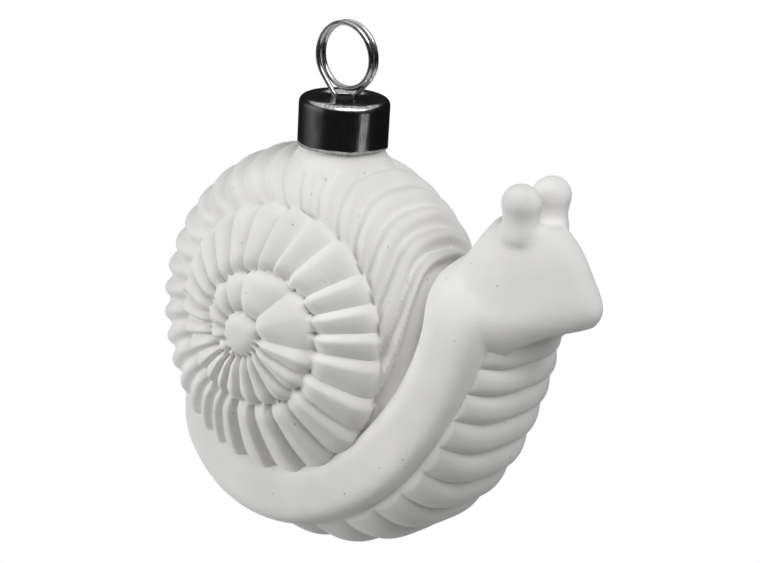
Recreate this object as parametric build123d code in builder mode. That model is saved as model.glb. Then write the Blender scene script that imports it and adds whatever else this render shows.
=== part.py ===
"""Hanging snail ornament: a hollow slip-cast bisque snail, a drawn metal cap and a sprung wire hanger.

Millimetres. +X is the way the snail faces, +Z is up, and the XZ plane is its plane of symmetry.
The origin is where a hook bears: the inside top of the hanger's loop, on the axis of the neck.
"""

import os
from math import acos, atan2, cos, degrees, dist, hypot, pi, radians, sin, sqrt

from build123d import *

# Wire hanger: a coiled loop of one and a half turns, whose two legs go down through the cap
wire_diameter = 1.0
loop_inside_diameter = 12.0
loop_turn_pitch = 1.5
loop_over_cap = 1.2
leg_gap = 1.4
leg_length = 12.5
leg_bend_radius = 2.0

# Drawn cap
cap_diameter = 18.0
cap_height = 10.0
cap_wall = 0.4
cap_shoulder = 1.4

# Fits between the three pieces
cap_on_neck_clearance = 0.2
cap_edge_clearance = 0.4
wire_in_hole_clearance = 0.25
leg_in_bore_clearance = 0.25

# Casting: walls
casting_wall = 3.5
neck_wall = 3.0
hollow_rim_share = 0.75

# Casting: shell, a fluted bun with a spiral groove on each side
shell_radius = 37.5
shell_half_width = 26.8
shell_setback = 2.0
shell_rib_count = 38
shell_rib_height = 0.9
rib_fade_radius = 23.0
boss_radius = 5.0
boss_rise = 3.0
suture_radius = 1.3
suture_outer_radius = 28.5
suture_growth = 1.85
suture_turns = 2.1

# Casting: foot that cradles the shell and rises as the chest, along two tangent arcs
foot_sink = 3.0
chest_path_radius = 56.0
foot_end_angle = 20.0
chest_end_angle = 84.0
foot_inner_depth = 10.0
foot_corner = 3.0

# Casting: ribs across the belly, fuller low down than at the throat
belly_rib_count = 9
belly_rib_radius = 4.3
belly_first_angle = 17.0
belly_last_angle = 78.0
belly_low_bulge = 11.0
belly_high_bulge = 5.8
belly_half_width = 11.0
belly_side_drop = 2.0
belly_first_phase = 45.0

# Casting: eye stalks
stalk_spacing = 8.2
stalk_radius = 3.6
stalk_ball_radius = 3.95
stalk_height = 10.5
stalk_splay = 3.0
stalk_forward = 2.0
stalk_base = 16.0

# Stations along the foot: angle of the path, half width, depth inside and outside the path
foot_stations = [
    (-56.0, 7.0, 6.0, 2.2),
    (-40.0, 13.0, 8.0, 3.2),
    (-15.0, 17.0, foot_inner_depth, 4.0),
    (10.0, 18.5, foot_inner_depth, 4.3),
    (35.0, 17.5, foot_inner_depth, 3.6),
    (60.0, 16.5, foot_inner_depth, 2.6),
    (chest_end_angle, 15.5, foot_inner_depth, 2.6),
    (chest_end_angle + 12.0, 9.0, 6.0, 3.0),
]

# Level rings of the head: height and the back and snout circles, from the end of the chest path
head_rings = [
    (-8.0, -5.3, 11.0, 2.0, 6.5),
    (-3.0, -3.3, 14.0, 7.2, 4.5),
    (1.0, -2.3, 13.5, 12.2, 4.5),
    (4.5, -1.8, 12.3, 14.0, 4.2),
    (10.0, -0.8, 10.3, 11.2, 4.2),
    (15.0, 0.2, 8.0, 7.7, 4.2),
    (18.2, 0.9, 6.2, 4.2, 4.0),
]

# Places worked out from the sizes above
wire_radius = wire_diameter / 2
loop_radius = (loop_inside_diameter + wire_diameter) / 2
loop_z = -loop_inside_diameter / 2
cap_radius = cap_diameter / 2
cap_top_z = loop_z - loop_radius - wire_radius - loop_over_cap
cap_edge_z = cap_top_z - cap_height
neck_top_z = cap_top_z - cap_wall
neck_radius = cap_radius - cap_wall - cap_on_neck_clearance
neck_edge_radius = cap_shoulder - cap_wall + cap_on_neck_clearance
bore_radius = neck_radius - neck_wall
shell_x = -shell_setback
shell_z = cap_edge_z - cap_edge_clearance - sqrt(shell_radius**2 - (cap_radius - shell_setback) ** 2)
foot_path_radius = shell_radius - foot_sink
chest_shift = chest_path_radius - foot_path_radius
chest_x = shell_x - chest_shift * sin(radians(foot_end_angle))
chest_z = shell_z + chest_shift * cos(radians(foot_end_angle))
hollow_radius = shell_radius - shell_rib_height - casting_wall
hollow_half_width = shell_half_width - casting_wall
hollow_rim_radius = hollow_rim_share * hollow_half_width


def outward(angle):
    """Direction out of the foot's path where it has turned by angle from level."""
    return Vector(sin(radians(angle)), 0, -cos(radians(angle)))


def along(angle):
    """Direction of the foot's path, towards the head, where it has turned by angle."""
    return Vector(cos(radians(angle)), 0, sin(radians(angle)))


def path_plane(angle):
    """Plane across the foot: its local X points outward and its local Y is +Y."""
    if angle < foot_end_angle:
        origin = Vector(shell_x, 0, shell_z) + outward(angle) * foot_path_radius
    else:
        origin = Vector(chest_x, 0, chest_z) + outward(angle) * chest_path_radius
    return Plane(origin=origin, x_dir=outward(angle), z_dir=along(angle))


def biarc(start, start_direction, end, end_direction):
    """Two arcs, tangent to each other, from start to end, drawn in the open BuildLine."""
    span = end - start
    both = start_direction + end_direction
    turn = 2 * (1 - start_direction.dot(end_direction))
    reach = (-span.dot(both) + sqrt(span.dot(both) ** 2 + turn * span.dot(span))) / turn
    before = start + start_direction * reach
    after = end - end_direction * reach
    middle = (before + after) * 0.5
    TangentArc(start, middle, tangent=start_direction)
    TangentArc(middle, end, tangent=(after - before).normalized())


def section_z(y):
    """Height of the shell's centre at y: the bosses sit a little above the middle of the shell."""
    return shell_z + boss_rise * (y / shell_half_width) ** 2


def suture_point(turn):
    """Point of the spiral groove on the right-hand side of the shell."""
    radius = suture_outer_radius * suture_growth**-turn
    y = -shell_half_width * sqrt(1 - (radius / shell_radius) ** 2)
    angle = radians(360 * turn)
    return Vector(shell_x + radius * cos(angle), y, section_z(y) + radius * sin(angle))


def suture_direction(turn):
    """Direction of the spiral groove."""
    step = 1e-4
    return (suture_point(turn + step) - suture_point(turn - step)).normalized()


head_origin = path_plane(chest_end_angle).origin


def head_ring(ring, inset=0.0):
    """One level ring of the head, smaller by inset: the hull of its back and snout circles."""
    height, back_x, back_radius, snout_x, snout_radius = ring
    with BuildSketch(Plane.XY.offset(head_origin.Z + height)) as level:
        with Locations((head_origin.X + back_x, 0)):
            Circle(back_radius - inset)
        with Locations((head_origin.X + snout_x, 0)):
            Circle(snout_radius - inset)
        make_hull()
    return level.sketch


# The wire's route: the legs run from the loop, where they are tangent to it, to a bend in the hole
corner_x = leg_gap / 2 + wire_radius
corner_z = cap_top_z - cap_wall / 2
corner_distance = hypot(corner_x, loop_z - corner_z)
loop_start = degrees(atan2(corner_x, loop_z - corner_z) + acos(loop_radius / corner_distance))
loop_end = 720 - loop_start
loop_arcs = 7
loop_arc = (loop_end - loop_start) / loop_arcs
leg_depth = loop_turn_pitch * (loop_end - loop_start) / 360 / 2
leg_spread = bore_radius - wire_radius - leg_in_bore_clearance
tip_x = sqrt(leg_spread**2 - leg_depth**2)


def loop_point(turn):
    """Point of the loop, turn degrees round from its lowest point, up the left side first."""
    depth = loop_turn_pitch * (turn - loop_start) / 360 - leg_depth
    return Vector(-loop_radius * sin(radians(turn)), depth, loop_z - loop_radius * cos(radians(turn)))


def loop_direction(turn):
    """Direction of the wire in the loop, level with the legs where it leaves for them."""
    rise = 0 if turn in (loop_start, loop_end) else loop_turn_pitch / radians(360)
    heading = Vector(-loop_radius * cos(radians(turn)), rise, loop_radius * sin(radians(turn)))
    return heading.normalized()


def leg_corner(side):
    """Bend of the left (-1) or right (1) leg, in the cap's hole."""
    return Vector(side * corner_x, side * leg_depth, corner_z)


def leg_tip(side):
    """Tip of the left (-1) or right (1) leg, sprung out towards the bore of the neck."""
    return Vector(side * tip_x, side * leg_depth, cap_top_z - leg_length)


bend_turn = 90 - loop_start + degrees(atan2(tip_x - corner_x, leg_length))
bend_inset = leg_bend_radius * (1 / cos(radians(bend_turn / 2)) - 1)
hole_radius = hypot(corner_x + bend_inset, leg_depth) + wire_radius + wire_in_hole_clearance


# Spiral grooves between the whorls, one on each side of the shell
with BuildPart() as suture:
    quarter = 0.25
    with BuildLine() as suture_path:
        for step in range(round(suture_turns / quarter)):
            turn = step * quarter
            biarc(
                suture_point(turn),
                suture_direction(turn),
                suture_point(turn + quarter),
                suture_direction(turn + quarter),
            )
    with BuildSketch(Plane(origin=suture_point(0), z_dir=suture_direction(0))):
        Circle(suture_radius)
    sweep(path=suture_path.wires()[0])
    mirror(about=Plane.XZ)

# Hollow of the casting: the slip follows the mould, so it is the outer form less the wall
with BuildPart() as hollow:
    # Shell: an oval of three tangent arcs turned about its width
    rim_center = hollow_radius - hollow_rim_radius
    rim_rise = hollow_half_width - hollow_rim_radius
    side_center = (rim_center**2 - rim_rise**2) / (2 * rim_rise)
    rim_end = Vector(rim_center, side_center).normalized() * hollow_rim_radius + Vector(rim_center, 0)
    with BuildSketch(Plane((shell_x, 0, shell_z))):
        with BuildLine():
            side = TangentArc((0, hollow_half_width), rim_end, tangent=(1, 0))
            TangentArc(rim_end, (rim_end.X, -rim_end.Y), tangent=side % 1)
            mirror(side, about=Plane.XZ)
            Line((0, -hollow_half_width), (0, hollow_half_width))
        make_face()
    revolve(axis=Axis((shell_x, 0, shell_z), (0, 1, 0)))
    # Chest and head, open to the shell
    for angle, half_width, inner_depth, outer_depth in foot_stations[4:7]:
        with BuildSketch(path_plane(angle)):
            Ellipse(inner_depth - casting_wall, half_width - casting_wall)
    loft()
    loft([head_ring(ring, casting_wall) for ring in head_rings[:5]])
    # Bore of the neck
    with BuildSketch(Plane.XY.offset(shell_z)):
        Circle(bore_radius)
    extrude(amount=neck_top_z - shell_z + casting_wall)

# Belly: rounded ribs across the front of the chest, each filled in down to the chest behind it
with BuildPart() as belly:
    for rib in range(belly_rib_count):
        share = rib / (belly_rib_count - 1)
        angle = belly_first_angle + (belly_last_angle - belly_first_angle) * share
        phase = belly_first_phase + (180 - belly_first_phase) * share
        fullness = sin(radians(phase)) ** 1.5
        bulge = belly_high_bulge + (belly_low_bulge - belly_high_bulge) * fullness
        crest = chest_path_radius + bulge - belly_rib_radius
        rib_plane = Plane(origin=(chest_x, 0, chest_z), x_dir=outward(angle), z_dir=along(angle))
        with BuildLine(rib_plane) as rib_path:
            ThreePointArc(
                (crest - belly_side_drop, -belly_half_width),
                (crest, 0),
                (crest - belly_side_drop, belly_half_width),
            )
        with BuildSketch(Plane(origin=rib_path.line @ 0, x_dir=along(angle), z_dir=rib_path.line % 0)):
            Circle(belly_rib_radius)
            with Locations((0, -bulge / 2)):
                Rectangle(2 * belly_rib_radius, bulge)
        sweep(path=rib_path.line)
        with Locations(rib_path.line @ 0, rib_path.line @ 1):
            Sphere(belly_rib_radius)

# Foot, chest, belly, head and eye stalks, before they join the shell
with BuildPart() as body:
    # Foot and chest: a rounded band along the path, thin at the tail
    for angle, half_width, inner_depth, outer_depth in foot_stations:
        with BuildSketch(path_plane(angle)):
            with Locations(((outer_depth - inner_depth) / 2, 0)):
                RectangleRounded(inner_depth + outer_depth, 2 * half_width, foot_corner)
    loft()
    add(belly.part)

    # Head: level rings from the throat to the crown
    loft([head_ring(ring) for ring in head_rings])

    # Eye stalks: a stem with a ball on it, splayed a little
    for side in (-1, 1):
        stalk_plane = Plane(
            origin=(head_origin.X + stalk_forward, side * stalk_spacing / 2, head_origin.Z + stalk_base),
            x_dir=(1, 0, 0),
            z_dir=(0, side * sin(radians(stalk_splay)), cos(radians(stalk_splay))),
        )
        with BuildSketch(stalk_plane):
            Circle(stalk_radius)
        extrude(amount=stalk_height - stalk_ball_radius)
        with Locations(stalk_plane.offset(stalk_height - stalk_ball_radius)):
            Sphere(stalk_ball_radius)

# Snail casting, hollow bisque in one piece
with BuildPart() as snail_casting:
    # Shell: sections of a bun across its width, each scalloped by the ribs that run over it
    boss_y = shell_half_width * sqrt(1 - (boss_radius / shell_radius) ** 2)
    rib_step = 360 / shell_rib_count
    for lean in (-90, -66, -48, -32, -16, 0, 16, 32, 48, 66, 90):
        y = boss_y * sin(radians(lean))
        crest = shell_radius * sqrt(1 - (y / shell_half_width) ** 2)
        valley = crest - shell_rib_height * min(1, crest / rib_fade_radius)
        with BuildSketch(Plane(origin=(shell_x, y, section_z(y)), x_dir=(1, 0, 0), z_dir=(0, 1, 0))):
            with BuildLine():
                for rib in range(shell_rib_count):
                    start, middle, end = [radians((rib + part) * rib_step) for part in (0, 0.5, 1)]
                    ThreePointArc(
                        (valley * cos(start), valley * sin(start)),
                        (crest * cos(middle), crest * sin(middle)),
                        (valley * cos(end), valley * sin(end)),
                    )
            make_face()
    loft(ruled=True)
    add(suture.part, mode=Mode.SUBTRACT)
    add(body.part)

    # Neck that the cap sits on, with a rounded rim
    with BuildSketch(Plane.XY.offset(shell_z + hollow_radius)):
        Circle(neck_radius)
    extrude(amount=neck_top_z - shell_z - hollow_radius)
    fillet(snail_casting.faces().sort_by(Axis.Z)[-1].edges(), neck_edge_radius)

    add(hollow.part, mode=Mode.SUBTRACT)

# Cap: a drawn cup with a punched hole, its skirt down over the neck
with BuildPart() as ornament_cap:
    with BuildSketch(Plane.XY.offset(cap_edge_z)):
        Circle(cap_radius)
    extrude(amount=cap_height)
    fillet(ornament_cap.edges().sort_by(Axis.Z)[-1], cap_shoulder)
    offset(amount=-cap_wall, openings=ornament_cap.faces().sort_by(Axis.Z)[0])
    with Locations((0, 0, cap_top_z)):
        Hole(hole_radius)

# Wire hanger: leg, loop and leg of one wire
with BuildPart() as wire_hanger:
    with BuildLine() as wire_path:
        FilletPolyline(leg_tip(-1), leg_corner(-1), loop_point(loop_start), radius=leg_bend_radius)
        for step in range(loop_arcs):
            turn = loop_start + step * loop_arc
            biarc(
                loop_point(turn),
                loop_direction(turn),
                loop_point(turn + loop_arc),
                loop_direction(turn + loop_arc),
            )
        FilletPolyline(loop_point(loop_end), leg_corner(1), leg_tip(1), radius=leg_bend_radius)
    wire_route = wire_path.wires()[0]
    with BuildSketch(Plane(origin=wire_route @ 0, z_dir=wire_route % 0)):
        Circle(wire_radius)
    sweep(path=wire_route)

# The wire's least gap to itself, between places more than a quarter turn apart along it
spots = [tuple(wire_route @ (spot / 600)) for spot in range(601)]
apart = round(600 * loop_radius * radians(90) / wire_route.length)
gap = min(dist(a, b) for i, a in enumerate(spots) for b in spots[i + apart :]) - wire_diameter
print(f"hanger: {wire_route.length:.1f} mm of wire, least gap to itself {gap:.2f} mm")
swept = pi * wire_radius**2 * wire_route.length
print(f"hanger volume {wire_hanger.part.volume:.2f} mm3, its section by its length {swept:.2f} mm3")

os.makedirs("parts", exist_ok=True)
for piece, name in (
    (snail_casting, "snail_casting"),
    (ornament_cap, "ornament_cap"),
    (wire_hanger, "wire_hanger"),
):
    piece.part.label = name
    export_step(piece.part, f"parts/{name}.step")
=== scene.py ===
"""Hanging snail ornament: a matte white bisque snail under a bright drawn cap and a sprung wire loop.

Pieces are drawn in millimetres in the frame of the part, whose origin is where a hook bears in the loop.
"""

from math import acos, atan2, cos, degrees, pi, radians, sin, sqrt

import bmesh
import bpy
from mathutils import Matrix, Vector, noise


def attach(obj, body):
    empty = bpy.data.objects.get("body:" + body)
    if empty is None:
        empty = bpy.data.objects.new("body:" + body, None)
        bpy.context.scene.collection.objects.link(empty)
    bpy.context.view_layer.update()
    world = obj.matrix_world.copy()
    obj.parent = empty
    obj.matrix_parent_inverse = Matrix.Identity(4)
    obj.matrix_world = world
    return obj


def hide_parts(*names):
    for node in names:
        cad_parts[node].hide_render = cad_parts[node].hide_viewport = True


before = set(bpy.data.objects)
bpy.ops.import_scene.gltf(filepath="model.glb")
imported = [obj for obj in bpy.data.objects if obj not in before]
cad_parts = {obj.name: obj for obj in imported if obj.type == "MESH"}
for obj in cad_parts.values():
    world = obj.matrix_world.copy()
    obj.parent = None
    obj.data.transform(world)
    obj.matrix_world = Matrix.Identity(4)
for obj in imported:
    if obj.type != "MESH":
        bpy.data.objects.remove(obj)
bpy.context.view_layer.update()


# Shell of the casting: a hand-carved spiral, pressed into a plaster mould and slip-cast with the body.
# Each whorl is a fat roll crossed by ribs, and the last one sweeps its ribs down to the snail's chest.
shell_center = Vector((-2, 0, -61.44))
shell_radius = 37.4
shell_half_width = 26.45
boss_rise = 3.0
boss_radius = 4.4


def curve_through(knots):
    """Smooth curve through the knots, as a function; it stays level before the first and after the last."""
    first, last = knots[0][0], knots[-1][0]
    samples = []
    for i in range(len(knots) - 1):
        (x0, y0), (x1, y1) = knots[i], knots[i + 1]
        before = knots[max(i - 1, 0)]
        after = knots[min(i + 2, len(knots) - 1)]
        slope0 = (y1 - before[1]) / (x1 - before[0])
        slope1 = (after[1] - y0) / (after[0] - x0)
        while first + len(samples) * (last - first) / 4000 < x1:
            t = (first + len(samples) * (last - first) / 4000 - x0) / (x1 - x0)
            bend = (x1 - x0) * t * (1 - t) * ((1 - t) * slope0 - t * slope1)
            samples.append(y0 + (y1 - y0) * t * t * (3 - 2 * t) + bend)
    samples.append(knots[-1][1])

    def value(x):
        step = (min(max(x, first), last) - first) / (last - first) * (len(samples) - 1)
        low = min(int(step), len(samples) - 2)
        return samples[low] + (samples[low + 1] - samples[low]) * (step - low)

    return value


# Radius of the groove between whorls, by the angle it has wound through from straight ahead
groove_radius = curve_through([
    (-170, 41), (-110, 38), (-60, 30.4), (-15, 28.8), (14, 28.9), (39, 29.3), (60, 28.9), (91, 27.6),
    (122, 25.2), (145, 22.5), (174, 19.8), (206, 17.7), (244, 15.4), (277, 14.6), (326, 15.6),
    (371, 17.0), (404, 16.6), (448, 13.4), (495, 11.2), (543, 9.0), (600, 5.6), (640, boss_radius),
    (800, boss_radius), (1000, boss_radius),
])
# How far, in degrees, a rib of the last whorl falls back between the rim and the groove
rib_sweep = curve_through([
    (-110, 0), (-40, 30), (10, 52), (33, 48), (38, 36), (46.5, 24), (54.5, 18), (64, 16), (84, 13),
    (112, 14), (180, 9), (225, 0), (260, 0),
])
most_sweep = 64
# Depth of the ribs' valleys on the last whorl
rib_depth = curve_through([
    (-110, 1.1), (20, 1.6), (38, 1.8), (47, 1.6), (56, 1.4), (70, 1.1), (90, 0.95), (112, 1.0),
    (140, 1.15), (180, 1.2), (260, 1.2),
])
# Creases between the ribs, by the angle wound through: even round the disc, few and broad by the boss
creases = [-134, -117, -100, -83, -66, -49, -32, -15, 2, 14, 26, 39, 56]
creases += [70 + 13.8 * step for step in range(14)]
creases += [268, 287, 305, 323, 342, 362, 407, 454, 482, 510, 538, 566, 594, 622, 650]
rib_number = curve_through([(crease, number) for number, crease in enumerate(creases)])
# Number of the rib on the last whorl, by its angle at the rim
last_valley = 33.0
rim_rib_number = curve_through([
    (last_valley, 0), (38.5, 1), (46, 2), (54, 3), (63, 4), (72, 5), (81, 6), (89.5, 7), (98, 8), (107, 9),
    (260, 25.2),
])
# Ribs of the disc and of the whorl by the boss: depth of the creases, and where the crest lies between two
disc_rib_depth, disc_crest = 1.4, 0.72
inner_rib_depth, inner_crest = 1.1, 0.6
# Grooves between whorls: depth, and how far the edge of a whorl rounds off into them
disc_groove_depth, inner_groove_depth = 1.5, 1.3
disc_groove_width, last_groove_width = 3.2, 4.5


def rib_valley(number, crest):
    """0 on the crest of a rib and 1 in the valley, for ribs that are steeper on one side."""
    share = number % 1
    if share < crest:
        return (1 - share / crest) ** 1.7
    return ((share - crest) / (1 - crest)) ** 1.5


def edge_fall(distance, width):
    """1 at the edge of a whorl, falling to 0 over the given width."""
    return max(0.0, 1 - distance / width) ** 2.2


def shell_carving(radius, angle):
    """Depth of the carving below the plain form of the shell."""
    outer = groove_radius(angle)
    inner = groove_radius(angle + 360)
    boss = groove_radius(angle + 720)
    if radius > outer:
        # Follow the swept rib from this point up to the rim, where the ribs are counted
        latitude = acos(min(1, radius / shell_radius))
        share = min(1, latitude / acos(min(0.98, outer / shell_radius))) ** 3
        low, high = angle, angle + most_sweep
        for _ in range(13):
            middle = (low + high) / 2
            if middle - rib_sweep(middle) * share < angle:
                low = middle
            else:
                high = middle
        valley = 1.0 if low < last_valley else (0.5 + 0.5 * cos(2 * pi * rim_rib_number(low))) ** 1.3
        return rib_depth(low) * valley + disc_groove_depth * edge_fall(radius - outer, last_groove_width)
    if radius > inner:
        width = min(disc_groove_width, 0.5 * (outer - inner))
        edge = edge_fall(outer - radius, width) + edge_fall(radius - inner, width)
        return disc_rib_depth * rib_valley(rib_number(angle), disc_crest) + disc_groove_depth * edge
    if radius > boss:
        width = min(disc_groove_width, 0.5 * (inner - boss))
        edge = edge_fall(inner - radius, width) + edge_fall(radius - boss, width)
        valley = rib_valley(rib_number(angle + 360), inner_crest)
        return inner_rib_depth * valley + inner_groove_depth * edge
    return inner_groove_depth * (radius / boss) ** 4


def tube(segments, cuts, place):
    """A closed tube, with each point placed by its turn and its share of the length."""
    form = bmesh.new()
    bmesh.ops.create_cone(form, cap_ends=True, segments=segments, radius1=1, radius2=1, depth=1)
    uprights = [edge for edge in form.edges if abs(edge.verts[0].co.z - edge.verts[1].co.z) > 0.5]
    bmesh.ops.subdivide_edges(form, edges=uprights, cuts=cuts)
    for vert in form.verts:
        vert.co = place(atan2(vert.co.y, vert.co.x), vert.co.z + 0.5)
    bmesh.ops.recalc_face_normals(form, faces=form.faces)
    return form


# Last angle of the tube at each boss, where the spiral is cut from, and how far the carver's hand strayed
pole_latitude = 89.6
spiral_start = -110
unevenness = 0.12


def shell_place(turn, share):
    """Point of the shell, from the boss on one side round to the boss on the other."""
    latitude = radians(pole_latitude * (2 * share - 1))
    unit = Vector((cos(latitude) * cos(turn), sin(latitude), cos(latitude) * sin(turn)))
    angle = degrees(turn)
    if angle < spiral_start:
        angle += 360
    depth = shell_carving(shell_radius * cos(latitude), angle)
    normal = Vector((unit.x / shell_radius, unit.y / shell_half_width, unit.z / shell_radius)).normalized()
    plain = Vector((unit.x * shell_radius, unit.y * shell_half_width, unit.z * shell_radius))
    plain.z += boss_rise * unit.y**2
    hand = unevenness * (noise.noise(plain * 0.15) - 1)
    return shell_center + plain + normal * (hand - depth)


shell = tube(480, 160, shell_place)


# Body of the casting: the foot cradles the shell, rises as the chest, and ends in a hooded head.
# Its belly is a stack of soft rolls, and the eye stalks are stubby fingers with round ends.
chest_center = Vector((-9.353, 0, -41.23))
chest_radius = 56.0
foot_radius = 34.5
foot_turn = 20.0
# Along the foot, by the angle of its path: half width, depth inside and outside the path, squareness inside
tail_angle, foot_end = -56, 94
rim_squareness = 4.5
foot_half_width = curve_through([
    (tail_angle, 9.5), (-47, 12.8), (-40, 14.6), (-15, 17.8), (10, 18.4), (35, 17.3), (60, 16.3), (82, 15.3),
    (89, 12.5), (foot_end, 7),
])
foot_inside = curve_through([
    (tail_angle, 6), (-40, 8), (-15, 10), (30, 10.5), (52, 12.5), (63, 14), (77, 15.7), (84, 16.8), (90, 16),
    (foot_end, 13),
])
foot_squareness = curve_through([
    (tail_angle, rim_squareness), (45, rim_squareness), (60, 3), (76, 2.2), (foot_end, 2.2),
])
foot_outside = curve_through([
    (tail_angle, 2.4), (-40, 3.4), (-15, 4.0), (10, 4.2), (35, 3.5), (60, 2.6), (84, 2.7), (foot_end, 2.7),
])
belly_grooves = [8, 17.5, 26.5, 35, 43, 50.5, 57.5, 64, 70, 75.5, 81]
belly_bulge = curve_through([
    (4, 3.3), (12, 7.3), (20, 9.4), (30, 10.6), (42, 10.7), (53, 9.3), (63, 7.2), (72, 6.3), (84, 6.3),
])
belly_from, belly_to = 5.0, 84.0
belly_half_width = curve_through([(belly_from, 13.8), (58, 13.8), (72, 12.6), (belly_to, 10.2)])
belly_groove_depth = 1.5
belly_side_drop = 0.62
belly_root = 7
end_roll = 9


def path_point(angle):
    """Point of the path of the foot and chest, and the direction out of it."""
    out = Vector((sin(radians(angle)), 0, -cos(radians(angle))))
    if angle < foot_turn:
        return shell_center + out * foot_radius, out
    return chest_center + out * chest_radius, out


def foot_place(turn, share):
    """Point of the band of the foot and chest, from the tail to the neck."""
    angle = tail_angle + (foot_end - tail_angle) * share
    middle, out = path_point(angle)
    inside, outside = foot_inside(angle), foot_outside(angle)
    corner = 2 / (rim_squareness if cos(turn) > 0 else foot_squareness(angle))
    u = abs(cos(turn)) ** corner * (1 if cos(turn) > 0 else -1)
    v = abs(sin(turn)) ** corner * (1 if sin(turn) > 0 else -1)
    across = (outside - inside) / 2 + (outside + inside) / 2 * u
    return middle + out * across + Vector((0, v * foot_half_width(angle), 0))


body = tube(96, 120, foot_place)

# Belly: a pad over the front of the chest, scored into rolls
belly = bmesh.new()
bmesh.ops.create_grid(belly, x_segments=260, y_segments=56, size=1)
for vert in belly.verts:
    angle = belly_from + (belly_to - belly_from) * (vert.co.x + 1) / 2
    side = vert.co.y
    below = max([g for g in belly_grooves if g <= angle], default=belly_grooves[0] - end_roll)
    above = min([g for g in belly_grooves if g > angle], default=belly_grooves[-1] + end_roll)
    roll = abs(2 * (angle - below) / (above - below) - 1) ** 2.4
    bulge = belly_bulge(angle) * (1 - belly_side_drop * abs(side) ** 3.5)
    height = chest_radius + bulge - belly_groove_depth * roll * (1 - 0.5 * side**8)
    out = Vector((sin(radians(angle)), 0, -cos(radians(angle))))
    vert.co = chest_center + out * height + Vector((0, side * belly_half_width(angle), 0))
backing = bmesh.ops.extrude_face_region(belly, geom=belly.faces[:])["geom"]
for vert in [g for g in backing if isinstance(g, bmesh.types.BMVert)]:
    arm = Vector((vert.co.x - chest_center.x, 0, vert.co.z - chest_center.z))
    vert.co -= arm * (1 - (chest_radius - belly_root) / arm.length)
bmesh.ops.recalc_face_normals(belly, faces=belly.faces)

# Head: level rings from the throat to the crown, each the hull of a back circle and a snout circle
chest_end = radians(84)
head_bottom, head_top = -8, 18.2
head_origin = chest_center + Vector((sin(chest_end), 0, -cos(chest_end))) * chest_radius
back_x = curve_through([
    (head_bottom, -5.3), (-3, -3.3), (1, -2.3), (4.5, -1.8), (10, -0.8), (15, 0.2), (head_top, 0.9),
])
back_radius = curve_through([
    (head_bottom, 11), (-3, 13.2), (1, 13.5), (4.5, 12.3), (10, 10.3), (15, 8), (head_top, 6.2),
])
snout_x = curve_through([
    (head_bottom, 2), (-3, 7.2), (1, 12.2), (4.5, 14), (10, 11.2), (15, 7.7), (head_top, 4.2),
])
snout_radius = curve_through([
    (head_bottom, 6.5), (-3, 4.5), (1, 4.5), (4.5, 4.2), (10, 4.2), (15, 4.2), (head_top, 4.0),
])


def head_place(turn, share):
    """Point of the head, from the throat up to the crown."""
    height = head_bottom + (head_top - head_bottom) * share
    back, far = back_x(height), back_radius(height)
    snout, near = snout_x(height), snout_radius(height)
    if back * cos(turn) + far > snout * cos(turn) + near:
        level = Vector((back + far * cos(turn), far * sin(turn), height))
    else:
        level = Vector((snout + near * cos(turn), near * sin(turn), height))
    return head_origin + level


head = tube(160, 60, head_place)

# Eye stalks: a stem with a round end, a little splayed; its radius goes by the share of its length
stalk_profile = curve_through([
    (0, 3.0), (0.12, 4.0), (0.25, 3.95), (0.42, 3.5), (0.55, 3.6), (0.7, 4.0), (0.8, 4.0),
])
stalk_length = 12.5
ball_radius = 3.9
stalk_tip_area = 0.02
stalk_splay = radians(3)
stalk_forward, stalk_apart, stalk_base = 2.0, 4.1, 14.0


def eye_stalk(side):
    """The stalk on the right (-1) or left (1) of the head."""
    foot_of_stalk = head_origin + Vector((stalk_forward, side * stalk_apart, stalk_base))
    lean = Vector((0, side * sin(stalk_splay), cos(stalk_splay)))

    def stalk_place(turn, share):
        height = stalk_length * share
        over = height - (stalk_length - ball_radius)
        radius = stalk_profile(share)
        if over > 0:
            radius = min(radius, sqrt(max(stalk_tip_area, ball_radius**2 - over**2)))
        ring = Vector((radius * cos(turn), radius * sin(turn), 0))
        return foot_of_stalk + lean * height + ring

    return tube(48, 50, stalk_place)


stalks = [eye_stalk(side) for side in (-1, 1)]


def as_object(form, name):
    """Turns a form into an object in metres and lets the form go."""
    mesh = bpy.data.meshes.new(name)
    bmesh.ops.scale(form, vec=(0.001, 0.001, 0.001), verts=form.verts)
    form.to_mesh(mesh)
    form.free()
    made = bpy.data.objects.new(name, mesh)
    bpy.context.scene.collection.objects.link(made)
    return made


def settle(piece):
    """Makes the piece's modifiers part of its mesh."""
    depsgraph = bpy.context.evaluated_depsgraph_get()
    mesh = bpy.data.meshes.new_from_object(piece.evaluated_get(depsgraph))
    piece.modifiers.clear()
    old = piece.data
    piece.data = mesh
    bpy.data.meshes.remove(old)


def carve(piece, tool, operation):
    """Joins the tool to the piece, or cuts it away, and lets the tool go."""
    cut = piece.modifiers.new("cut", "BOOLEAN")
    cut.object = tool
    cut.operation = operation
    cut.solver = "MANIFOLD"
    settle(piece)
    mesh = tool.data
    bpy.data.objects.remove(tool)
    bpy.data.meshes.remove(mesh)


for piece in (head, *stalks):
    loose = bpy.data.meshes.new("loose")
    piece.to_mesh(loose)
    piece.free()
    body.from_mesh(loose)
    bpy.data.meshes.remove(loose)
snail = as_object(body, "bisque_snail")
blend = snail.modifiers.new("blend", "REMESH")
blend.mode = "VOXEL"
blend.voxel_size = 0.00045
settle(snail)
soften = snail.modifiers.new("soften", "SMOOTH")
soften.factor = 0.5
soften.iterations = 18
settle(snail)

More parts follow.
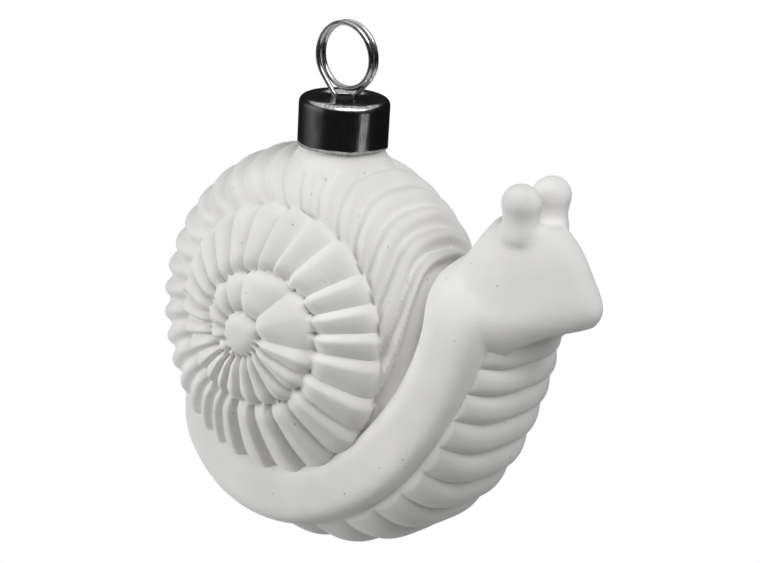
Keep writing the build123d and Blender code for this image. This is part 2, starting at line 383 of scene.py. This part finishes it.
# Hood: the chin is cut back below a lip, so that the head overhangs the belly
throat = bmesh.new()
throat_radius = 58.9
throat_half_width = 22
lip = ((49.2, -54.3), (51, -51.9), (53.5, -50), (57, -48.2), (70, -43.6))
throat_outline = [
    chest_center + throat_radius * Vector((sin(radians(a)), 0, -cos(radians(a)))) for a in range(52, 75, 2)
]
throat_outline += [Vector((x, 0, z)) for x, z in (*lip, (70, -80))]
near_side = Vector((0, -throat_half_width, 0))
face = throat.faces.new([throat.verts.new(point + near_side) for point in throat_outline])
pushed = bmesh.ops.extrude_face_region(throat, geom=[face])["geom"]
bmesh.ops.translate(
    throat, vec=(0, 2 * throat_half_width, 0), verts=[g for g in pushed if isinstance(g, bmesh.types.BMVert)]
)
bmesh.ops.recalc_face_normals(throat, faces=throat.faces)
carve(snail, as_object(throat, "throat"), "DIFFERENCE")
carve(snail, as_object(belly, "belly"), "UNION")
carve(snail, as_object(shell, "shell"), "UNION")

# Neck of the casting, which flares into the shell under the cap's hem, and the hollow that the slip leaves
neck = bmesh.new()
neck_outline = [
    (0, -14.62), (7.2, -14.62), (7.9, -14.9), (8.3, -15.6), (8.4, -16.5), (8.4, -24.2), (8.6, -24.9),
    (9.0, -25.6), (9.5, -26.2), (10.2, -26.9), (11.2, -28.2), (11.2, -34), (0, -34),
]
points = [neck.verts.new((x, 0, z)) for x, z in neck_outline]
edges = [neck.edges.new(pair) for pair in zip(points, points[1:])]
bmesh.ops.spin(
    neck, geom=points + edges, cent=(0, 0, 0), axis=(0, 0, 1), angle=2 * pi, steps=128, use_merge=True
)
bmesh.ops.remove_doubles(neck, verts=neck.verts, dist=0.001)
bmesh.ops.recalc_face_normals(neck, faces=neck.faces)
carve(snail, as_object(neck, "neck"), "UNION")
hollow_radius, hollow_half_width = 33.1, 23.0
hollow = bmesh.new()
bmesh.ops.create_uvsphere(
    hollow, u_segments=64, v_segments=32, radius=1,
    matrix=Matrix.Translation(shell_center)
    @ Matrix.Diagonal((hollow_radius, hollow_half_width, hollow_radius, 1)),
)
carve(snail, as_object(hollow, "hollow"), "DIFFERENCE")
bore_radius = 5.4
bore = bmesh.new()
bmesh.ops.create_cone(
    bore, cap_ends=True, segments=96, radius1=bore_radius, radius2=bore_radius, depth=40,
    matrix=Matrix.Translation((0, 0, -30)),
)
carve(snail, as_object(bore, "bore"), "DIFFERENCE")

# The mesh is thinned where it is flat, and its sharp edges stay sharp
most_triangles = 180000
triangles = sum(len(face.vertices) - 2 for face in snail.data.polygons)
lighter = snail.modifiers.new("lighter", "DECIMATE")
lighter.ratio = min(1, most_triangles / triangles)
settle(snail)
for face in snail.data.polygons:
    face.use_smooth = True
snail.data.set_sharp_from_angle(angle=radians(48))


def linear(colour):
    """Linear colour of an sRGB hex value."""
    parts = [int(colour[i : i + 2], 16) / 255 for i in (1, 3, 5)]
    return [c / 12.92 if c <= 0.04045 else ((c + 0.055) / 1.055) ** 2.4 for c in parts] + [1]


def add_node(tree, kind, inputs=None, **settings):
    """Adds a node with its settings, and its inputs as values or as the outputs that feed them."""
    made = tree.nodes.new(kind)
    for name, value in settings.items():
        setattr(made, name, value)
    for name, value in (inputs or {}).items():
        if isinstance(value, bpy.types.NodeSocket):
            tree.links.new(value, made.inputs[name])
        else:
            made.inputs[name].default_value = value
    return made


# Bisque: earthenware fired once and left unglazed. It is dead matt and slightly uneven in tone, with the
# pinholes of burst bubbles, a fine tooth, and the marks of the sponge and tool that rubbed it down.

# In metres: clouds of tone, room round each pinhole, tooth, strokes of the tool and their patches.
# Tooth and strokes are usually finer in such ware, about 0.1 mm; they are drawn coarser so that they show.
cloud_size = 0.014
pinhole_spacing = 0.0026
tooth_size = 0.0006
stroke_spacing = 0.0007
patch_size = 0.009
bisque = bpy.data.materials.new("unglazed_bisque")
bisque.use_nodes = True
tree = bisque.node_tree
shader = tree.nodes["Principled BSDF"]
place = add_node(tree, "ShaderNodeTexCoord").outputs["Object"]
cloud = add_node(tree, "ShaderNodeTexNoise", {"Vector": place, "Scale": 1 / cloud_size, "Detail": 3.0})
tone = add_node(tree, "ShaderNodeValToRGB", {"Fac": cloud.outputs["Fac"]})
tone.color_ramp.elements[0].position = 0.35
tone.color_ramp.elements[0].color = linear("#e2e1df")
tone.color_ramp.elements[1].position = 0.65
tone.color_ramp.elements[1].color = linear("#ebeae8")
pinholes = add_node(tree, "ShaderNodeTexVoronoi", {"Vector": place, "Scale": 1 / pinhole_spacing})
pin = add_node(
    tree, "ShaderNodeMapRange",
    {"Value": pinholes.outputs["Distance"], "From Min": 0.03, "From Max": 0.075,
     "To Min": 1.0, "To Max": 0.0},
)
chance = add_node(tree, "ShaderNodeSeparateColor", {"Color": pinholes.outputs["Color"]})
rare = add_node(tree, "ShaderNodeMath", {0: chance.outputs["Red"], 1: 0.62}, operation="GREATER_THAN")
pinhole_pit_and_shade = add_node(tree, "ShaderNodeMath", {0: pin.outputs["Result"], 1: rare.outputs[0]}, operation="MULTIPLY")
# Pinholes: pits in the bump below, and painted shade in the colour, where the base colour darkens to #a5a19b
# inside each pit
colour = add_node(
    tree, "ShaderNodeMix",
    {"Factor": pinhole_pit_and_shade.outputs[0], "A": tone.outputs["Color"], "B": linear("#a5a19b")}, data_type="RGBA",
)
tree.links.new(colour.outputs["Result"], shader.inputs["Base Color"])
tooth = add_node(tree, "ShaderNodeTexNoise", {"Vector": place, "Scale": 1 / tooth_size, "Detail": 2.0})
strokes = add_node(tree, "ShaderNodeMapping", {"Vector": place, "Rotation": (0.5, 0.3, 0.6)})
tool_marks = add_node(
    tree, "ShaderNodeTexWave",
    {"Vector": strokes.outputs["Vector"], "Scale": 2 * pi / 20 / stroke_spacing,
     "Distortion": 0.5, "Detail": 1.0},
)
patchy = add_node(tree, "ShaderNodeTexNoise", {"Vector": place, "Scale": 1 / patch_size, "Detail": 1.0})
marked = add_node(
    tree, "ShaderNodeMapRange", {"Value": patchy.outputs["Fac"], "From Min": 0.5, "From Max": 0.7}
)
marks = add_node(
    tree, "ShaderNodeMath", {0: tool_marks.outputs["Fac"], 1: marked.outputs["Result"]}, operation="MULTIPLY"
)
rubbed = add_node(
    tree, "ShaderNodeBump", {"Height": marks.outputs[0], "Strength": 0.2, "Distance": 0.00006}
)
toothed = add_node(
    tree, "ShaderNodeBump",
    {"Height": tooth.outputs["Fac"], "Strength": 0.4, "Distance": 0.00012,
     "Normal": rubbed.outputs["Normal"]},
)
pitted = add_node(
    tree, "ShaderNodeBump",
    {"Height": pinhole_pit_and_shade.outputs[0], "Strength": 0.8, "Distance": 0.0002, "Normal": toothed.outputs["Normal"]},
    invert=True,
)
tree.links.new(pitted.outputs["Normal"], shader.inputs["Normal"])
shader.inputs["Roughness"].default_value = 0.82
shader.inputs["IOR"].default_value = 1.5
shader.inputs["Specular IOR Level"].default_value = 0.25
snail.data.materials.clear()
snail.data.materials.append(bisque)
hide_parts("snail_casting")
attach(snail, "casting")


# Cap: thin plated sheet, drawn over a punch and trimmed by hand, so its hem is a little wavy.
# The drawing leaves fine upright streaks on the skirt, and the flat top is polished.
cap_radius = 9.0
cap_top = -14.2
cap_edge = -24.2
cap_wall = 0.35
cap_shoulder = 1.4
cap_hole = 2.71
# How far the hem rises in slow waves and in short ones, and the share by which the skirt is dented in
hem_wave, hem_ragged, skirt_dent = 0.55, 0.25, 0.012
cap_form = bmesh.new()
outline = [(cap_hole, cap_top), (cap_radius - cap_shoulder, cap_top)]
for lean in range(10, 91, 10):
    across = cap_radius - cap_shoulder + cap_shoulder * sin(radians(lean))
    outline.append((across, cap_top - cap_shoulder + cap_shoulder * cos(radians(lean))))
skirt_top = cap_top - cap_shoulder
outline += [(cap_radius, skirt_top - step * (skirt_top - cap_edge) / 10) for step in range(1, 11)]
points = [cap_form.verts.new((x, 0, z)) for x, z in outline]
edges = [cap_form.edges.new(pair) for pair in zip(points, points[1:])]
bmesh.ops.spin(
    cap_form, geom=points + edges, cent=(0, 0, 0), axis=(0, 0, 1), angle=2 * pi, steps=192, use_merge=True
)
bmesh.ops.recalc_face_normals(cap_form, faces=cap_form.faces)
for vert in cap_form.verts:
    down = max(0, (skirt_top - vert.co.z) / (skirt_top - cap_edge))
    turn = atan2(vert.co.y, vert.co.x)
    wave = 0.5 + 0.5 * noise.noise(Vector((2.2 * cos(turn), 2.2 * sin(turn), 3)))
    ragged = 0.5 + 0.5 * noise.noise(Vector((9 * cos(turn), 9 * sin(turn), 7)))
    vert.co.z += down**2 * (hem_wave * wave + hem_ragged * ragged)
    dent = 0.5 + 0.5 * noise.noise(Vector((3 * cos(turn), 3 * sin(turn), 11)))
    pinch = 1 - skirt_dent * down * dent
    vert.co.x *= pinch
    vert.co.y *= pinch
cap = as_object(cap_form, "drawn_cap")
sheet = cap.modifiers.new("sheet", "SOLIDIFY")
sheet.thickness = cap_wall / 1000
sheet.offset = -1
settle(cap)
for face in cap.data.polygons:
    face.use_smooth = True

# Nickel plate: a bright mirror, dulled by streaks 0.35 mm wide that run down the skirt; the streaks are
# scored into the surface, and their dark tone is painted reflection
streak_width = 0.35
plate = bpy.data.materials.new("bright_nickel_plate")
plate.use_nodes = True
tree = plate.node_tree
shader = tree.nodes["Principled BSDF"]
place = add_node(tree, "ShaderNodeTexCoord").outputs["Object"]
part = add_node(tree, "ShaderNodeSeparateXYZ", {"Vector": place})
turn = add_node(
    tree, "ShaderNodeMath", {0: part.outputs["Y"], 1: part.outputs["X"]}, operation="ARCTAN2"
)
unrolled = add_node(
    tree, "ShaderNodeCombineXYZ", {"X": turn.outputs[0], "Z": part.outputs["Z"]}
)
drawn = add_node(tree, "ShaderNodeMapping", {"Vector": unrolled.outputs[0], "Scale": (1, 1, 12)})
streaks = add_node(
    tree, "ShaderNodeTexNoise",
    {"Vector": drawn.outputs[0], "Scale": cap_radius / streak_width, "Detail": 4.0},
)
# Painted reflection: the base colour darkens along the drawn streaks, standing in for the dark surroundings
# reflected in the skirt
streak_painted_reflection = add_node(tree, "ShaderNodeValToRGB", {"Fac": streaks.outputs["Fac"]})
streak_painted_reflection.color_ramp.elements[0].position = 0.35
streak_painted_reflection.color_ramp.elements[0].color = linear("#8f8f90")
streak_painted_reflection.color_ramp.elements[1].position = 0.7
streak_painted_reflection.color_ramp.elements[1].color = linear("#c9c9c8")
tree.links.new(streak_painted_reflection.outputs["Color"], shader.inputs["Base Color"])
scored = add_node(
    tree, "ShaderNodeBump", {"Height": streaks.outputs["Fac"], "Strength": 0.25, "Distance": 0.00005}
)
tree.links.new(scored.outputs["Normal"], shader.inputs["Normal"])
shader.inputs["Metallic"].default_value = 1
shader.inputs["Roughness"].default_value = 0.18
cap.data.materials.clear()
cap.data.materials.append(plate)
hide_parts("ornament_cap")
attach(cap, "cap")


# Hanger: bright spring wire, wound one and a half turns round a mandrel, its legs sprung into the neck.
# Drawing through a die leaves it bright and smooth, and handling dulls it in small patches.
dulling_size = 0.0008
wire = bpy.data.materials.new("bright_spring_wire")
wire.use_nodes = True
tree = wire.node_tree
shader = tree.nodes["Principled BSDF"]
place = add_node(tree, "ShaderNodeTexCoord").outputs["Object"]
dulling = add_node(tree, "ShaderNodeTexNoise", {"Vector": place, "Scale": 1 / dulling_size, "Detail": 3.0})
shine = add_node(tree, "ShaderNodeMapRange", {"Value": dulling.outputs["Fac"], "To Min": 0.08, "To Max": 0.3})
tree.links.new(shine.outputs["Result"], shader.inputs["Roughness"])
shader.inputs["Base Color"].default_value = linear("#bdbdbd")
shader.inputs["Metallic"].default_value = 1
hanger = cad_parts["wire_hanger"]
hanger.data.materials.clear()
hanger.data.materials.append(wire)


# Set: a pale floor well below the hanging piece, and a white surround, which light it only softly.
# The camera sees both as plain white, and reflections do so above and below the dark wall.
floor_level = -420
floor_reach = 3000
floor_form = bmesh.new()
bmesh.ops.create_grid(
    floor_form, x_segments=1, y_segments=1, size=floor_reach,
    matrix=Matrix.Translation((0, 0, floor_level)),
)
floor = as_object(floor_form, "floor")


def seen_as_white(tree, plain, white, ending):
    """Shows white instead of plain to the camera, to reflections and through glass."""
    path = add_node(tree, "ShaderNodeLightPath")
    seen = add_node(
        tree, "ShaderNodeMath",
        {0: path.outputs["Is Camera Ray"], 1: path.outputs["Is Glossy Ray"]}, operation="ADD",
    )
    seen = add_node(
        tree, "ShaderNodeMath",
        {0: seen.outputs[0], 1: path.outputs["Is Transmission Ray"]}, operation="ADD", use_clamp=True,
    )
    mixed = add_node(
        tree, "ShaderNodeMixShader", {0: seen.outputs[0], 1: plain.outputs[0], 2: white.outputs[0]}
    )
    tree.links.new(mixed.outputs[0], tree.nodes[ending].inputs["Surface"])


paper = bpy.data.materials.new("white_paper")
paper.use_nodes = True
tree = paper.node_tree
shader = tree.nodes["Principled BSDF"]
shader.inputs["Base Color"].default_value = linear("#c8c8c8")
shader.inputs["Roughness"].default_value = 0.9
white = add_node(tree, "ShaderNodeEmission", {"Color": (1, 1, 1, 1), "Strength": 1.0})
seen_as_white(tree, shader, white, "Material Output")
floor.data.materials.append(paper)

world = bpy.data.worlds.new("surround")
bpy.context.scene.world = world
world.use_nodes = True
tree = world.node_tree
dim = tree.nodes["Background"]
dim.inputs["Color"].default_value = (1, 1, 1, 1)
dim.inputs["Strength"].default_value = 0.08
white = add_node(tree, "ShaderNodeBackground", {"Color": (1, 1, 1, 1), "Strength": 1.0})
seen_as_white(tree, dim, white, "World Output")


def soft_box(name, position, target, size, power):
    """A rectangular area lamp at position, in metres, aimed at target."""
    lamp = bpy.data.lights.new(name, "AREA")
    lamp.shape = "RECTANGLE"
    lamp.size, lamp.size_y = size
    lamp.energy = power
    made = bpy.data.objects.new(name, lamp)
    made.location = position
    made.rotation_mode = "QUATERNION"
    made.rotation_quaternion = (Vector(target) - Vector(position)).to_track_quat("-Z", "Y")
    bpy.context.scene.collection.objects.link(made)


middle = (0.008, 0, -0.06)
box_size = (0.5, 0.5)
soft_box("left_box", (-0.5, -0.52, 0.05), middle, box_size, 3.8)
soft_box("top_box", (0.3, -0.3, 0.7), middle, box_size, 3.1)
soft_box("right_box", (0.7, 0.0, 0.5), middle, box_size, 3.6)

# Dark flag: a black wall round the set that only reflections see, so that the bright metal looks dark
wall_radius, wall_height, wall_middle = 600, 880, 30
flag_form = bmesh.new()
bmesh.ops.create_cone(
    flag_form, cap_ends=False, segments=64, radius1=wall_radius, radius2=wall_radius, depth=wall_height,
    matrix=Matrix.Translation((0, 0, wall_middle)),
)
flag = as_object(flag_form, "flag")
velvet = bpy.data.materials.new("black_velvet")
velvet.use_nodes = True
velvet.node_tree.nodes["Principled BSDF"].inputs["Base Color"].default_value = linear("#101010")
velvet.node_tree.nodes["Principled BSDF"].inputs["Roughness"].default_value = 1.0
flag.data.materials.append(velvet)
flag.visible_camera = False
flag.visible_diffuse = False
flag.visible_shadow = False
flag.visible_transmission = False

# Camera: a little above and to the front right of the snail, and slightly tilted
look_at = Vector((0.008, 0, -0.0592))
camera_distance = 0.55
azimuth, elevation, roll = radians(40), radians(18), radians(3.2)
focal = 2765.0
image_width, image_height = 760, 563
principal = (363.6, 324.3)
back = Vector((sin(azimuth) * cos(elevation), -cos(azimuth) * cos(elevation), sin(elevation)))
right = Vector((cos(azimuth), sin(azimuth), 0))
up = back.cross(right)
right, up = right * cos(roll) + up * sin(roll), up * cos(roll) - right * sin(roll)
aim = (
    -back
    + right * ((image_width / 2 - principal[0]) / focal)
    + up * ((principal[1] - image_height / 2) / focal)
).normalized()
right = (right - aim * right.dot(aim)).normalized()
lens = bpy.data.cameras.new("camera")
lens.sensor_width = 36
lens.lens = lens.sensor_width * focal / image_width
camera = bpy.data.objects.new("camera", lens)
turned = Matrix((right, right.cross(aim), -aim)).transposed()
camera.matrix_world = Matrix.Translation(look_at + back * camera_distance) @ turned.to_4x4()
bpy.context.scene.collection.objects.link(camera)
bpy.context.scene.camera = camera
bpy.context.scene.view_settings.view_transform = "Standard"
